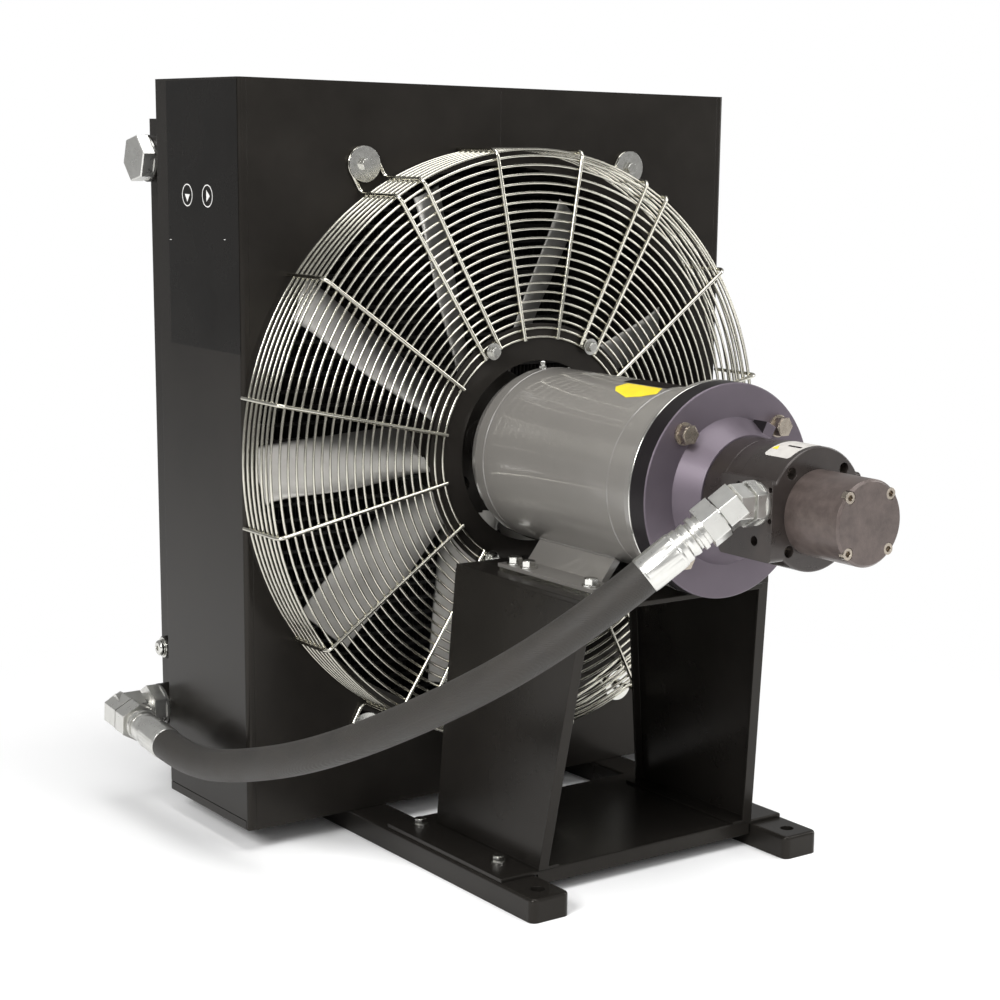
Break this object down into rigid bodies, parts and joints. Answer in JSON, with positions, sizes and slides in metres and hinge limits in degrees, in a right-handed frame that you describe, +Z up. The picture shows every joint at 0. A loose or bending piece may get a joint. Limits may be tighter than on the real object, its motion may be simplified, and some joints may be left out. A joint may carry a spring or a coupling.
{
  "type": "hydraulic oil cooler",
  "caption": "Air-blast hydraulic oil cooler on floor rails: an electric motor turns a guarded fan that blows through the core and a pump that feeds the core through a hose.",
  "frame": {"origin": "on the floor plane under the rails, at the centre of the four floor-bolt holes", "axes": "+Y runs along the motor and fan axis from the pump end towards the core, +X to the side of the motor's terminal box, +Z up"},
  "size_m": [0.7526, 0.923, 0.871],
  "materials": {
    "black_paint": "gloss enamel",
    "core_paint": "painted brazed aluminium",
    "motor_grey": "gloss enamel",
    "adapter_paint": "semi-gloss paint",
    "pump_iron": "painted casting",
    "zinc_wire": "bright zinc plate",
    "zinc_steel": "zinc plate",
    "bolt_steel": "dull zinc plate",
    "zinc_fitting": "satin zinc plate",
    "fan_metal": "mill finish",
    "ground_steel": "ground",
    "lamination": "varnished laminations",
    "winding_copper": "varnished copper wire",
    "hose_rubber": "matte wrapped cover",
    "seal_rubber": "matte"
  },
  "bodies": {
    "frame": {"adapter_bolts": "bolt_steel", "adapter_flange": "adapter_paint", "base_tray": "black_paint", "conduit_box": "motor_grey", "conduit_cover": "motor_grey", "core_fins": "core_paint", "core_frame": "black_paint", "core_tubes": "core_paint", "cover_screws": "bolt_steel", "elbow_lower": "zinc_fitting", "foot_bolts": "zinc_steel", "foot_shims": "zinc_steel", "grease_fitting": "zinc_steel", "guard_front_rings": "zinc_wire", "guard_hub_bolts": "zinc_steel", "guard_hub_plate": "black_paint", "guard_loop_bolts": "zinc_steel", "guard_side_rings": "zinc_wire", "guard_spokes": "zinc_wire", "hose": "hose_rubber", "hose_end_lower": "zinc_fitting", "hose_end_upper": "zinc_fitting", "motor_bearings": "ground_steel", "motor_feet": "motor_grey", "motor_front_bell": "motor_grey", "motor_plate": "black_paint", "motor_rear_bell": "motor_grey", "motor_shell": "motor_grey", "orifice_ring": "black_paint", "port_adapter": "zinc_fitting", "port_plug": "zinc_fitting", "pump_body": "pump_iron", "pump_cover": "pump_iron", "pump_elbow": "zinc_fitting", "pump_front": "pump_iron", "pump_screws": "bolt_steel", "rails": "black_paint", "shaft_seal": "seal_rubber", "shroud_bottom": "black_paint", "shroud_face": "black_paint", "shroud_left": "black_paint", "shroud_right": "black_paint", "shroud_top": "black_paint", "stand_side_left": "black_paint", "stand_side_right": "black_paint", "stator_core": "lamination", "stator_windings": "winding_copper", "swivel_nuts": "zinc_fitting", "tank_left": "black_paint", "tank_right": "black_paint", "tank_screw": "zinc_steel", "tray_bolts": "zinc_steel"},
    "rotor": {"motor_shaft": "ground_steel", "rotor_core": "lamination", "fan_hub": "black_paint", "fan_blades": "fan_metal", "pump_shaft": "ground_steel", "gerotor_inner": "ground_steel"},
    "gerotor_ring": {"gerotor_ring": "ground_steel"}
  },
  "joints": [
    {"name": "fan_spin", "type": "hinge", "parent": "frame", "child": "rotor", "pos_m": [0, 0, 0.454], "axis": [0, 1, 0], "continuous": true},
    {"name": "ring_spin", "type": "hinge", "parent": "frame", "child": "gerotor_ring", "pos_m": [0, -0.5, 0.4513], "axis": [0, 1, 0], "continuous": true}
  ],
  "couplings": [
    {"joint": "ring_spin", "follows": "fan_spin", "ratio": 0.85714}
  ]
}
